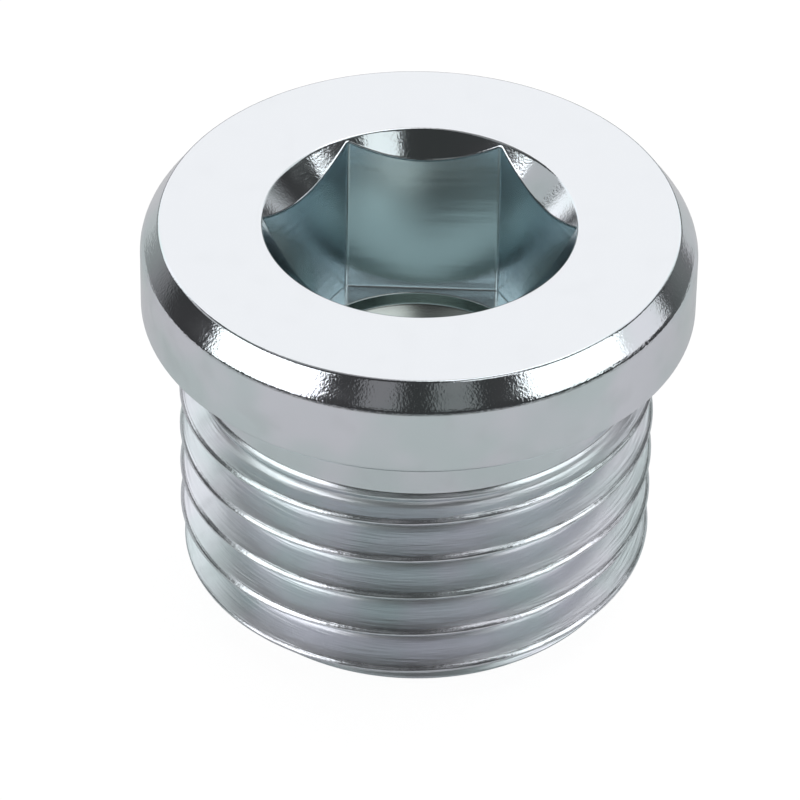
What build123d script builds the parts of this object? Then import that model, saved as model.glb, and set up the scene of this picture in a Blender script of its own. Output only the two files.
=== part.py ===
from build123d import *
import os
from math import ceil, radians, sqrt, tan

# Screw plug with a collar and a hexagon socket, turned from one steel bar, with a rolled thread.
# Millimetres, +Z up. The origin is the centre of the flat thread end, on which the plug stands.

# Overall
overall_height = 12.5

# Thread on the shank: 9/16-18 UNF, right-hand, single-start
thread_diameter = 14.29
thread_pitch = 25.4 / 18
thread_flank_angle = 30.0
thread_depth = 0.866
thread_crest_flat = 0.176
# Height at which one of its turns has its crest at the front, which is -Y
front_crest_z = 6.756
end_chamfer = 1.0

# Collar, which stands out past the thread all round to seat on the port's face
collar_overhang = 1.105
collar_height = 3.0
top_chamfer_width = 0.55
top_chamfer_height = 0.8
# Bevel that breaks the collar's lower edge
collar_edge_bevel = 0.15

# Neck between the collar and the thread, at about the thread's pitch diameter
neck_undercut = 0.5
neck_length = 2.0
neck_fillet_radius = 0.2
# Height over which the thread's groove gets shallower until it ends at the neck
groove_runout = 0.5

# Hexagon socket
hex_across_flats = 8.0
hex_depth = 5.5
countersink_margin = 0.08
countersink_angle = 45.0

# Drilled hole under the hexagon, smaller than it by the width of the lands at the flats
land_width = 0.25
drill_beyond_hex = 0.4
drill_point_angle = 118.0

# Heights and radii that follow from the sizes above
seat_z = overall_height - collar_height
thread_radius = thread_diameter / 2
root_radius = thread_radius - thread_depth
flank_slope = tan(radians(thread_flank_angle))
collar_radius = thread_radius + collar_overhang
neck_radius = thread_radius - neck_undercut
neck_end_z = seat_z - neck_length
full_crest_end_z = neck_end_z - neck_undercut * flank_slope
top_face_radius = collar_radius - top_chamfer_width
end_face_radius = thread_radius - end_chamfer
drill_radius = hex_across_flats / 2 - land_width


def section_corner(section, radius, height):
    """The section's corner at that radius and height, which are X and Y in the section's own plane."""
    return section.vertices().sort_by_distance((radius, height))[0]


def revolved(*corners):
    """Solid of revolution about Z, from the corners of its half section as radius and height."""
    with BuildPart() as solid:
        with BuildSketch(Plane.XZ):
            with BuildLine():
                Polyline(*corners, close=True)
            make_face()
        revolve(axis=Axis.Z)
    return solid.part


def threaded_bar():
    """Bar at the major diameter with the thread's groove cut in it, longer than the shank both ways.

    The groove's section is a trapezoid, narrow at the root and reaching just past the crests. It is
    swept along a helix that starts over +X, more than a pitch below the end face, and stops after
    whole turns, more than a pitch above the thread.
    """
    groove_over_x = front_crest_z + thread_pitch / 4 + thread_pitch / 2
    start_z = groove_over_x - (ceil(groove_over_x / thread_pitch) + 1) * thread_pitch
    turns = ceil((neck_end_z - start_z) / thread_pitch) + 1
    past_crest = thread_crest_flat / 2
    half_root = (thread_pitch - thread_crest_flat) / 2 - thread_depth * flank_slope
    half_mouth = half_root + (thread_depth + past_crest) * flank_slope
    with BuildPart() as groove:
        with BuildLine() as helix:
            Helix(thread_pitch, turns * thread_pitch, root_radius, center=(0, 0, start_z))
        with BuildSketch(Plane.XZ):
            with BuildLine():
                Polyline(
                    (root_radius, start_z - half_root),
                    (thread_radius + past_crest, start_z - half_mouth),
                    (thread_radius + past_crest, start_z + half_mouth),
                    (root_radius, start_z + half_root),
                    close=True,
                )
            make_face()
        sweep(path=helix.line, is_frenet=True)
    bar_bottom = start_z - thread_pitch
    bar_top = start_z + (turns + 1) * thread_pitch
    bar = revolved((0, bar_bottom), (thread_radius, bar_bottom), (thread_radius, bar_top), (0, bar_top))
    return bar - groove.part


def threaded_stock():
    """The threaded bar joined to plain stock, wider than the collar, in which the plug's upper part is.

    The stock's lower face is a cone that comes up through the thread's root and reaches the neck's
    radius where the full crests end, so that the groove gets shallower and runs out on it.
    """
    runout_slope = (neck_radius - root_radius) / groove_runout
    foot_radius = root_radius - neck_undercut
    foot_z = full_crest_end_z - (neck_radius - foot_radius) / runout_slope
    stock_radius = collar_radius + neck_undercut
    widest_z = full_crest_end_z + (stock_radius - neck_radius) / runout_slope
    stock_top = overall_height + thread_pitch
    stock = revolved(
        (0, foot_z), (foot_radius, foot_z), (stock_radius, widest_z), (stock_radius, stock_top), (0, stock_top)
    )
    return threaded_bar() + stock


def turned_outline():
    """The plug's outside as turned, with a plain shank: its half section revolved about Z."""
    with BuildPart() as outline:
        with BuildSketch(Plane.XZ) as section:
            with BuildLine():
                Polyline(
                    (0, 0),
                    (end_face_radius, 0),
                    (thread_radius, end_chamfer),
                    (thread_radius, full_crest_end_z),
                    (neck_radius, neck_end_z),
                    (neck_radius, seat_z),
                    (collar_radius, seat_z),
                    (collar_radius, overall_height - top_chamfer_height),
                    (top_face_radius, overall_height),
                    (0, overall_height),
                    close=True,
                )
            make_face()
            chamfer(section_corner(section, collar_radius, seat_z), collar_edge_bevel)
            fillet(section_corner(section, neck_radius, seat_z), neck_fillet_radius)
        revolve(axis=Axis.Z)
    return outline.part


def drilled_hole():
    """Hole drilled before the hexagon is broached: a cylinder past the hexagon, with a cone point."""
    wall_end_z = overall_height - hex_depth - drill_beyond_hex
    point_height = drill_radius / tan(radians(drill_point_angle / 2))
    return revolved(
        (0, overall_height),
        (drill_radius, overall_height),
        (drill_radius, wall_end_z),
        (0, wall_end_z - point_height),
    )


def broached_hexagon():
    """Hexagonal prism from the top face down to the lands, with corners on the X axis."""
    with BuildPart() as prism:
        with BuildSketch(Plane.XY.offset(overall_height - hex_depth)):
            RegularPolygon(hex_across_flats / 2, 6, major_radius=False)
        extrude(amount=hex_depth)
    return prism.part


def countersink():
    """Cone that opens the socket, so that the hexagon's corners just reach its rim."""
    rim_radius = hex_across_flats / sqrt(3) + countersink_margin
    depth = rim_radius / tan(radians(countersink_angle))
    return revolved((0, overall_height), (rim_radius, overall_height), (0, overall_height - depth))


blank = threaded_stock() & turned_outline()
screw_plug = blank - drilled_hole() - broached_hexagon() - countersink()

os.makedirs("parts", exist_ok=True)
export_step(screw_plug, "parts/screw_plug.step")
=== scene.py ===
import math

import bmesh
import bpy
import numpy as np
from mathutils import Matrix, Vector


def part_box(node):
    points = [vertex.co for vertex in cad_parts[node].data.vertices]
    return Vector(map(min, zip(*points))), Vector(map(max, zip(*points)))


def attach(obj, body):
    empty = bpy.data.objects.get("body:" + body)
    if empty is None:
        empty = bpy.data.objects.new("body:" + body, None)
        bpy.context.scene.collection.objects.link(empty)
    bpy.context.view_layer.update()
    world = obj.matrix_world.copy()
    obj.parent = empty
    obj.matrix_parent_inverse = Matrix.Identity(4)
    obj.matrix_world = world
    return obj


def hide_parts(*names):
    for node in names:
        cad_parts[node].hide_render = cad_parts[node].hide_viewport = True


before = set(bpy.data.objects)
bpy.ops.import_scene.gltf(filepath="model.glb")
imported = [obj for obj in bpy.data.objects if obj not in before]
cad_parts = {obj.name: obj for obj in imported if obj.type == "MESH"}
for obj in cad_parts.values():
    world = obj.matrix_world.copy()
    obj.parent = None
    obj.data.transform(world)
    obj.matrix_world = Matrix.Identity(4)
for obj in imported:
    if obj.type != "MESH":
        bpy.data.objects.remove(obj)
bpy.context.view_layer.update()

# Screw plug
# One piece of steel, turned from bar, drilled, broached with a hexagon and thread-rolled, then
# bright zinc plated. The thread is a single-start right-hand 9/16-18 UNF, and the plug stands on
# its threaded end. Lengths are in millimetres until they go into the mesh.
MM = 0.001
plug_low, plug_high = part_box("screw_plug")
collar_radius = (plug_high.x - plug_low.x) / 2 / MM
overall_height = plug_high.z / MM
collar_height = 3.0
seat_height = overall_height - collar_height
top_chamfer_width = 0.55
top_chamfer_height = 0.8
collar_edge_bevel = 0.15

thread_radius = 7.145
thread_pitch = 25.4 / 18
crest_half_width = 0.088
root_depth = 0.866
flank_slope = math.sqrt(3)
crest_rounding = 0.24
root_rounding = 0.22
root_radius = thread_radius - root_depth
front_crest_height = 6.756
end_chamfer = 1.0
end_face_radius = thread_radius - end_chamfer

neck_undercut = 0.5
neck_length = 2.0
neck_radius = thread_radius - neck_undercut
neck_end_height = seat_height - neck_length
neck_fillet = 0.2
neck_foot_rounding = 0.12
neck_foot_height = neck_end_height + neck_foot_rounding / flank_slope
crest_end_height = neck_end_height - neck_undercut / flank_slope
groove_runout = 0.5
runout_slope = (neck_radius - root_radius) / groove_runout
runout_rounding = 0.06
groove_end_rounding = 0.26

hexagon_apothem = 4.0
hexagon_corner_radius = 0.15
hexagon_depth = 5.5
hexagon_floor_height = overall_height - hexagon_depth
countersink_margin = 0.08
countersink_rim_radius = hexagon_apothem / math.cos(math.pi / 6) + countersink_margin
drill_radius = 3.75
drill_beyond_hexagon = 0.4
drill_wall_foot = hexagon_floor_height - drill_beyond_hexagon
drill_point_angle = 118
drill_point_slope = math.tan(math.radians(90 - drill_point_angle / 2))

drill_edge_rounding = 0.05
land_edge_rounding = 0.04
countersink_foot_rounding = 0.05
countersink_rim_rounding = 0.065
top_edge_rounding = 0.075
chamfer_foot_rounding = 0.2
bevel_rounding = 0.05
end_face_rounding = 0.05
last_thread_row_height = 0.1

sector_columns = 48
corner_crowding = 0.85
share = np.arange(sector_columns) / sector_columns
sector_angles = (share - corner_crowding * np.sin(2 * np.pi * share) / (2 * np.pi)) * np.pi / 3
angles = np.concatenate([sector_angles + k * np.pi / 3 for k in range(6)] + [[2 * np.pi]])


def hexagon_radius(angle):
    """Distance from the axis to the hexagon's wall: the apothem over the cosine of the angle from
    the flat's middle, or near a corner the far side of a circle of the corner radius."""
    from_flat = np.abs((angle % (np.pi / 3)) - np.pi / 6)
    from_corner = np.pi / 6 - from_flat
    centre = (hexagon_apothem - hexagon_corner_radius) / math.cos(np.pi / 6)
    across = centre * np.sin(from_corner)
    on_arc = centre * np.cos(from_corner) + np.sqrt(
        np.maximum(hexagon_corner_radius**2 - across**2, 0)
    )
    on_flat = hexagon_apothem / np.cos(from_flat)
    touch = math.atan2(
        hexagon_corner_radius / 2, centre + hexagon_corner_radius * math.cos(np.pi / 6)
    )
    return np.where(from_corner < touch, on_arc, on_flat)


def rounded_rows(corners, steps=4, margin=0.03):
    """Rows of points along a profile whose corners are rounded. Each corner is radius, height and
    how far the rounding reaches along both sides; it becomes a quadratic curve from the point that
    far before it to the point that far after it, with a row just outside each end."""
    points = [
        np.stack(np.broadcast_arrays(r, z, angles)[:2], -1).astype(float) for r, z, _ in corners
    ]
    rows = [points[0]]
    for before, here, after, (_, _, reach) in zip(points, points[1:], points[2:], corners[1:]):
        back = before - here
        ahead = after - here
        back_length = np.linalg.norm(back, axis=-1, keepdims=True)
        ahead_length = np.linalg.norm(ahead, axis=-1, keepdims=True)
        start = here + back / back_length * np.minimum(reach, back_length * 0.45)
        end = here + ahead / ahead_length * np.minimum(reach, ahead_length * 0.45)
        rows.append(start + back / back_length * np.minimum(margin, back_length * 0.04))
        for t in np.linspace(0, 1, steps + 1):
            rows.append((1 - t) ** 2 * start + 2 * t * (1 - t) * here + t**2 * end)
        rows.append(end + ahead / ahead_length * np.minimum(margin, ahead_length * 0.04))
    rows.append(points[-1])
    return rows


def smooth_lower(a, b, reach):
    """The lower of two values, rounded where they are within reach of each other."""
    near = np.maximum(reach - np.abs(a - b), 0) / reach
    return np.minimum(a, b) - near**2 * reach / 4


def smooth_upper(a, b, reach):
    """The higher of two values, rounded where they are within reach of each other."""
    return -smooth_lower(-a, -b, reach)


def thread_rows():
    """Rows along the thread's helix, from the neck down to the end chamfer. Across one ridge the
    radius is the crest's, less the flank's slope outside the crest, rounded into a round root. Near
    the neck it isn't less than a cone through the root, on which the groove runs out, and it is cut
    to the cone that ends the crests and to the end chamfer's cone. Each row climbs one pitch in a
    turn, so it ends where the row a pitch above it starts; near the neck the rows crowd together."""
    half_pitch = thread_pitch / 2
    widest_edge = half_pitch * 0.97
    outer = np.array([1.0, 0.92, 0.84, 0.76, 0.68, 0.55, 0.32, 0.145, 0.1, 0.06, 0.025])
    inner = np.array([0.88, 0.6, 0.3, 0.0])
    crowding = 0.1
    front_turn = (angles + np.pi / 2) / (2 * np.pi)
    rows = []
    bottom_ridge = math.floor(-front_crest_height / thread_pitch) - 2
    for ridge in range(1, bottom_ridge, -1):
        centre = front_crest_height + thread_pitch * (ridge + front_turn)
        over_chamfer = thread_radius + crest_half_width * flank_slope - end_face_radius - centre
        edge_above = np.clip(over_chamfer / (flank_slope + 1), crest_half_width, widest_edge)
        edge_below = np.clip(over_chamfer / (flank_slope - 1), crest_half_width, widest_edge)
        above = [edge_above + s * (half_pitch - edge_above) for s in outer]
        above += [edge_above * s for s in inner]
        below = [-edge_below * s for s in inner[-2::-1]]
        below += [-(edge_below + s * (half_pitch - edge_below)) for s in outer[:0:-1]]
        for offset in above + below:
            under_foot = np.logaddexp(0, (neck_foot_height - centre - offset) / crowding) * crowding
            height = np.maximum(neck_foot_height - under_foot, last_thread_row_height)
            from_crest = np.abs((height - centre + half_pitch) % thread_pitch - half_pitch)
            flank = thread_radius - (from_crest - crest_half_width) * flank_slope
            grooved = smooth_upper(flank, root_radius, root_rounding)
            crested = smooth_lower(grooved, thread_radius, crest_rounding)
            runout_cone = neck_radius + (height - crest_end_height) * runout_slope
            ridge_radius = smooth_upper(crested, runout_cone, runout_rounding)
            crest_cone = neck_radius + (neck_end_height - height) * flank_slope
            outline = smooth_upper(crest_cone, neck_radius, neck_foot_rounding)
            cut = smooth_lower(ridge_radius, outline, groove_end_rounding)
            end_cone = end_face_radius + height
            rows.append(np.stack([smooth_lower(cut, end_cone, crest_rounding / 2), height], -1))
    return rows


def plug_surface():
    """The plug's whole skin, from the drill point up the socket, over the collar, down the neck
    and thread, and in to the middle of the end face: rows of radius and height at each angle."""
    hexagon = hexagon_radius(angles)
    countersink_foot = overall_height - (countersink_rim_radius - hexagon)
    drill_depth = drill_wall_foot - drill_radius * drill_point_slope
    just_above = 0.02
    upper = rounded_rows(
        [
            (0, drill_depth, 0),
            (drill_radius, drill_wall_foot, drill_edge_rounding),
            (drill_radius, hexagon_floor_height, land_edge_rounding),
            (hexagon, hexagon_floor_height, land_edge_rounding),
            (hexagon, countersink_foot, countersink_foot_rounding),
            (countersink_rim_radius, overall_height, countersink_rim_rounding),
            (collar_radius - top_chamfer_width, overall_height, top_edge_rounding),
            (collar_radius, overall_height - top_chamfer_height, chamfer_foot_rounding),
            (collar_radius, seat_height + collar_edge_bevel, bevel_rounding),
            (collar_radius - collar_edge_bevel, seat_height, bevel_rounding),
            (neck_radius, seat_height, neck_fillet),
            (neck_radius, neck_foot_height + just_above, 0),
            (neck_radius, neck_end_height, 0),
        ]
    )
    on_end_chamfer = (end_face_radius + last_thread_row_height, last_thread_row_height, 0)
    lower = rounded_rows([on_end_chamfer, (end_face_radius, 0, end_face_rounding), (0, 0, 0)])
    return np.array(upper[:-1] + thread_rows() + lower)


rows = plug_surface()
row_count, column_count = rows.shape[:2]
radius, height = rows[..., 0], rows[..., 1]
points = np.stack([radius * np.cos(angles), radius * np.sin(angles), height], -1) * MM
index = np.arange(row_count * column_count).reshape(row_count, column_count)
quads = np.stack([index[:-1, :-1], index[:-1, 1:], index[1:, 1:], index[1:, :-1]], -1)
plug_mesh = bpy.data.meshes.new("plug_skin")
plug_mesh.from_pydata(points.reshape(-1, 3), [], quads.reshape(-1, 4))

skin = bmesh.new()
skin.from_mesh(plug_mesh)
bmesh.ops.remove_doubles(skin, verts=skin.verts, dist=2e-7)
bmesh.ops.recalc_face_normals(skin, faces=skin.faces)
for face in skin.faces:
    face.smooth = True
skin.to_mesh(plug_mesh)
skin.free()
plug = bpy.data.objects.new("zinc_plated_screw_plug", plug_mesh)
bpy.context.scene.collection.objects.link(plug)
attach(plug, "root")
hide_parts("screw_plug")


class Wire:
    """A socket of a node tree. Operators add Math nodes, and add makes any other node."""

    def __init__(self, tree, socket=None):
        self.tree = tree
        self.socket = socket

    def add(self, kind, settings, inputs, *outputs):
        """A new node: its settings first, then values or wires for its sockets, then the wires of
        the outputs asked for."""
        node = self.tree.nodes.new(kind)
        for name, value in settings.items():
            setattr(node, name, value)
        for place, value in inputs.items():
            if isinstance(value, Wire):
                self.tree.links.new(value.socket, node.inputs[place])
            else:
                node.inputs[place].default_value = value
        wires = [Wire(self.tree, node.outputs[name]) for name in outputs]
        return wires[0] if len(wires) == 1 else wires

    def math(self, operation, *others):
        values = dict(enumerate((self, *others)))
        return self.add("ShaderNodeMath", {"operation": operation}, values, 0)

    def __add__(self, other):
        return self.math("ADD", other)

    def __radd__(self, other):
        return self.math("ADD", other)

    def __sub__(self, other):
        return self.math("SUBTRACT", other)

    def __rsub__(self, other):
        return (self * -1.0) + other

    def __mul__(self, other):
        return self.math("MULTIPLY", other)

    def __rmul__(self, other):
        return self.math("MULTIPLY", other)

    def __truediv__(self, other):
        return self.math("DIVIDE", other)

    def rise(self, low, high):
        """0 below low, 1 above high, and smooth between."""
        values = {"Value": self, "From Min": low, "From Max": high}
        return self.add("ShaderNodeMapRange", {"interpolation_type": "SMOOTHSTEP"}, values, 0)

    def between(self, low, high, soft):
        """1 from low to high, and 0 further out than soft."""
        return self.rise(low - soft, low) * (1.0 - self.rise(high, high + soft))

    def tint(self, first, second):
        """The first colour where this is 0, the second where it is 1."""
        return self.add("ShaderNodeMix", {"data_type": "RGBA"}, {0: self, 6: first, 7: second}, 2)


def noise(place, across, upward=None, detail=0.0, shift=0.0):
    """Smooth noise from 0 to 1 about 0.5, with the cells per millimetre across and upward."""
    scale = (across, across, across if upward is None else upward)
    spread = place.add(
        "ShaderNodeVectorMath", {"operation": "MULTIPLY_ADD"}, {0: place, 1: scale, 2: (shift,) * 3}, 0
    )
    values = {"Vector": spread, "Scale": 1.0, "Detail": detail}
    return place.add("ShaderNodeTexNoise", {}, values, "Fac")


zinc = bpy.data.materials.new("bright_zinc_plate")
zinc.use_nodes = True
zinc.node_tree.nodes.clear()
root = Wire(zinc.node_tree)
metres = root.add("ShaderNodeTexCoord", {}, {}, "Object")
place = root.add("ShaderNodeVectorMath", {"operation": "SCALE"}, {0: metres, "Scale": 1 / MM}, 0)
x, y, z = root.add("ShaderNodeSeparateXYZ", {}, {0: place}, 0, 1, 2)
r = (x * x + y * y).math("SQRT")
ring_place = root.add("ShaderNodeCombineXYZ", {}, {0: r, 1: z, 2: x * 0.05 + y * 0.03}, 0)

countersink_line = overall_height - countersink_rim_radius
on_countersink = (z - r).rise(countersink_line - 0.06, countersink_line - 0.02)
within_rim = 1.0 - r.rise(countersink_rim_radius - 0.04, countersink_rim_radius)
in_socket = within_rim * (1.0 - on_countersink) * z.rise(0.5, 1.0)
in_drill = (1.0 - r.rise(drill_radius, drill_radius + 0.02)) * in_socket
at_floor = 1.0 - z.rise(hexagon_floor_height + 0.02, hexagon_floor_height + 0.06)
on_lands = at_floor * in_socket * (1.0 - in_drill)
chamfer_foot = overall_height - top_chamfer_height
on_chamfer = z.rise(chamfer_foot - 0.03, chamfer_foot + 0.05) * r.rise(
    collar_radius - top_chamfer_width - 0.06, collar_radius - top_chamfer_width
)
on_top = z.rise(overall_height - 0.03, overall_height - 0.01) * (1.0 - on_chamfer)
below_neck = 1.0 - z.rise(neck_end_height - 0.1, neck_end_height)
on_thread = below_neck * r.rise(root_radius - 0.5, root_radius)
on_flanks = on_thread * (1.0 - r.rise(thread_radius - 0.2, thread_radius - 0.05))

# Zinc takes a faint green tint in some places and a faint violet one in others.
green_zinc = (0.68, 0.765, 0.785, 1)
violet_zinc = (0.79, 0.81, 0.87, 1)
face_zinc = (0.735, 0.755, 0.785, 1)
stained_zinc = (0.50, 0.54, 0.55, 1)
socket_zinc = (0.655, 0.76, 0.80, 1)
# Painted light: the socket's lands take a much lighter colour than the rest of the zinc, standing in
# for light falling on them from above.
lands_painted_lit_zinc = (0.90, 0.95, 0.96, 1)
# Painted shade: the drill at the bottom of the socket takes a darker colour for the shade deep in the
# hole.
drill_painted_shade_zinc = (0.45, 0.50, 0.48, 1)
cloud = noise(place, 0.32, detail=2.0, shift=2.0).rise(0.36, 0.64)
colour = cloud.tint(green_zinc, violet_zinc)
colour = on_top.tint(colour, face_zinc)
stain = noise(place, 1.1, detail=2.0, shift=7.0).rise(0.5, 0.75)
colour = (stain * 0.12 * (1.0 - on_top)).tint(colour, stained_zinc)
colour = in_socket.tint(colour, socket_zinc)
# Painted light on the socket's lands.
colour = on_lands.tint(colour, lands_painted_lit_zinc)
# Painted shade in the drill.
colour = in_drill.tint(colour, drill_painted_shade_zinc)

# Fine turning marks run round the plug, most of all along the thread, whose crests are nicked.
# Chatter marks run across the socket's flats. The plate over them is pitted like orange peel,
# mainly on the chamfer and the countersink. The chamfer and countersink are the smoothest parts,
# and the thread's flanks the roughest.
turning = noise(ring_place, 14.0, detail=1.0)
peel = noise(place, 13.0, detail=1.5)
swell = noise(place, 1.2, shift=5.0)
chatter = noise(place, 0.35, 3.6, detail=1.0, shift=6.0)
nicks = noise(place, 6.0, detail=1.0, shift=9.0)
edge_wear = z.between(chamfer_foot - 0.05, chamfer_foot + 0.05, 0.05)
edge_wear = edge_wear * r.rise(collar_radius - 0.2, collar_radius - 0.1)
relief = peel * (on_chamfer * 2.4 + on_countersink * 1.6 + edge_wear * 2.0 + 0.12)
relief = relief + turning * (on_thread * 6.0 + 0.12) + swell * 2.5
relief = relief + nicks * on_thread * (1.0 - on_flanks) * 4.0 + chatter * in_socket * 5.0
relief_unit = 0.0016 * MM
bump_values = {"Strength": 1.0, "Distance": relief_unit, "Height": relief}
bumped = root.add("ShaderNodeBump", {}, bump_values, 0)

roughness = 0.22 - (on_chamfer + on_countersink) * 0.12 + on_flanks * 0.12
roughness = roughness + stain * 0.05 * (1.0 - in_socket) - on_lands * 0.02

shader = root.add(
    "ShaderNodeBsdfPrincipled", {},
    {"Base Color": colour, "Metallic": 1.0, "Roughness": roughness, "Normal": bumped}, 0,
)
root.add("ShaderNodeOutputMaterial", {}, {"Surface": shader})
plug_mesh.materials.append(zinc)

# Bench
# The pale matt top of a photographer's round table, which the plug stands on. It looks almost
# white to the camera, and keeps the plug's shadow. Reflections see nearly its true grey.
bench_radius = 0.07
bench_sides = 96
bench_mesh = bpy.data.meshes.new("bench_top")
bench_angles = np.linspace(0, 2 * np.pi, bench_sides, endpoint=False)
bench_rim = np.stack([np.cos(bench_angles), np.sin(bench_angles), bench_angles * 0], -1)
bench_mesh.from_pydata(bench_rim * bench_radius, [], [np.arange(bench_sides)])
bench = bpy.data.objects.new("bench_top", bench_mesh)
bpy.context.scene.collection.objects.link(bench)

pale = bpy.data.materials.new("pale_bench")
pale.use_nodes = True
pale.node_tree.nodes.clear()
root = Wire(pale.node_tree)
seen, glossy, through = root.add(
    "ShaderNodeLightPath", {}, {}, "Is Camera Ray", "Is Glossy Ray", "Is Transmission Ray"
)
white_to_camera = 0.82
white_in_reflections = 0.04
white_level = 1.14
white_share = seen * white_to_camera + (glossy + through) * white_in_reflections
matt = root.add("ShaderNodeBsdfDiffuse", {}, {"Color": (0.85, 0.85, 0.85, 1)}, 0)
white = root.add("ShaderNodeEmission", {}, {"Color": (1, 1, 1, 1), "Strength": white_level}, 0)
bench_shader = root.add("ShaderNodeMixShader", {}, {0: white_share, 1: matt, 2: white}, 0)
root.add("ShaderNodeOutputMaterial", {}, {"Surface": bench_shader})
bench_mesh.materials.append(pale)

# Studio
# A wide white panel stands behind the plug and bends round its right side higher up. Softboxes
# stand to the left, right and overhead, and a small one high up at the front right. The camera's
# side is dark, apart from two dim grey cards beside the camera.
world = bpy.data.worlds.new("studio")
bpy.context.scene.world = world
world.use_nodes = True
world.node_tree.nodes.clear()
root = Wire(world.node_tree)
direction = root.add("ShaderNodeTexCoord", {}, {}, "Generated")
east, north, high = root.add("ShaderNodeSeparateXYZ", {}, {0: direction}, 0, 1, 2)
seen = root.add("ShaderNodeLightPath", {}, {}, "Is Camera Ray")
to_degrees = 180 / math.pi
level = (east * east + north * north).math("SQRT")
from_back = (north / level).math("ARCCOSINE") * to_degrees
elevation = high.math("ARCSINE") * to_degrees
to_right = east.rise(-0.05, 0.05)
left_edge = from_back + (elevation - 34.0).math("MAXIMUM", 0.0) * 1.1
panel_left = (1.0 - left_edge.rise(58, 68)) * (1.0 - to_right)
panel_right = (1.0 - from_back.rise(30, 66)) * to_right
panel = (panel_left + panel_right) * elevation.between(14, 56, 8)
side_share = 0.8
side_panel = to_right * (1.0 - from_back.rise(70, 82)) * elevation.between(36, 60, 7)
panel = panel.math("MAXIMUM", side_panel * side_share)
cards = (east / level - 0.03).math("ABSOLUTE").between(0.15, 0.36, 0.05) * north.rise(0.1, -0.1)
cards = cards * elevation.between(20, 42, 6)
horizon = elevation.between(-12, 3, 3) * (1.0 - from_back.rise(45, 78)) * (0.3 - to_right * 0.16)
ceiling = elevation.rise(46, 64) * (1.0 - from_back.rise(100, 130))
panel_light = 1.12
card_light = 0.17
ceiling_light = 0.26
room_light = 0.045
light = panel * panel_light + cards * card_light + horizon + ceiling * ceiling_light + room_light
light = light * (1.0 - seen) + seen
studio = root.add("ShaderNodeBackground", {}, {"Color": (1, 1, 1, 1), "Strength": light}, 0)
root.add("ShaderNodeOutputWorld", {}, {"Surface": studio})


def softbox(name, azimuth, elevation, width, height, radiance, distance=0.5):
    """A rectangular lamp facing the plug's top. Its power gives the radiance over its own area."""
    data = bpy.data.lights.new(name, "AREA")
    data.shape = "RECTANGLE"
    data.size = width
    data.size_y = height
    data.energy = radiance * math.pi * width * height
    lamp = bpy.data.objects.new(name, data)
    a, e = math.radians(azimuth), math.radians(elevation)
    towards = Vector((math.cos(a) * math.cos(e), math.sin(a) * math.cos(e), math.sin(e)))
    lamp.location = towards * distance + Vector((0, 0, overall_height * MM))
    lamp.rotation_mode = "QUATERNION"
    lamp.rotation_quaternion = towards.to_track_quat("Z", "Y")
    lamp.visible_camera = False
    bpy.context.scene.collection.objects.link(lamp)


softbox("softbox_left", azimuth=-151.5, elevation=22.5, width=0.4, height=0.325, radiance=1.8)
softbox("softbox_left_back", azimuth=168, elevation=30, width=0.25, height=0.14, radiance=0.5)
softbox("softbox_right", azimuth=-23, elevation=24, width=0.364, height=0.287, radiance=1.6)
softbox("fill_right", azimuth=9.5, elevation=11, width=0.22, height=0.123, radiance=0.8)
softbox("softbox_overhead", azimuth=25, elevation=74, width=0.25, height=0.25, radiance=1.3)
softbox("softbox_front_high", azimuth=-53, elevation=49, width=0.17, height=0.14, radiance=1.1)

# Camera
# A long lens from about 38 degrees above the bench, tipped a degree to one side as in the photo.
# Its axis passes a little below and to the left of the middle of the plug's top face.
camera_elevation = math.radians(38.13)
camera_roll = 0.0163
camera_turn = math.radians(1.5)
camera_distance = 20.9 * collar_radius
aim_left_of_top_centre = 0.0703 * collar_radius
aim_below_top_centre = 0.641 * collar_radius
focal_length_in_widths = 7.3168

turn = Matrix.Rotation(camera_turn, 3, "Z")
forward = turn @ Vector((0, math.cos(camera_elevation), -math.sin(camera_elevation)))
level_right = turn @ Vector((1, 0, 0))
level_up = level_right.cross(forward)
right = math.cos(camera_roll) * level_right + math.sin(camera_roll) * level_up
up = right.cross(forward)
top_centre = Vector((0, 0, overall_height))
aim = top_centre - right * aim_left_of_top_centre - up * aim_below_top_centre

camera_data = bpy.data.cameras.new("camera")
camera_data.sensor_width = 36.0
camera_data.lens = focal_length_in_widths * camera_data.sensor_width
camera_data.clip_start = 0.001
camera_data.clip_end = 10.0
camera = bpy.data.objects.new("camera", camera_data)
camera.matrix_world = Matrix.Translation((aim - forward * camera_distance) * MM) @ (
    Matrix((right, up, -forward)).transposed().to_4x4()
)
bpy.context.scene.collection.objects.link(camera)
bpy.context.scene.camera = camera
bpy.context.scene.view_settings.view_transform = "Standard"
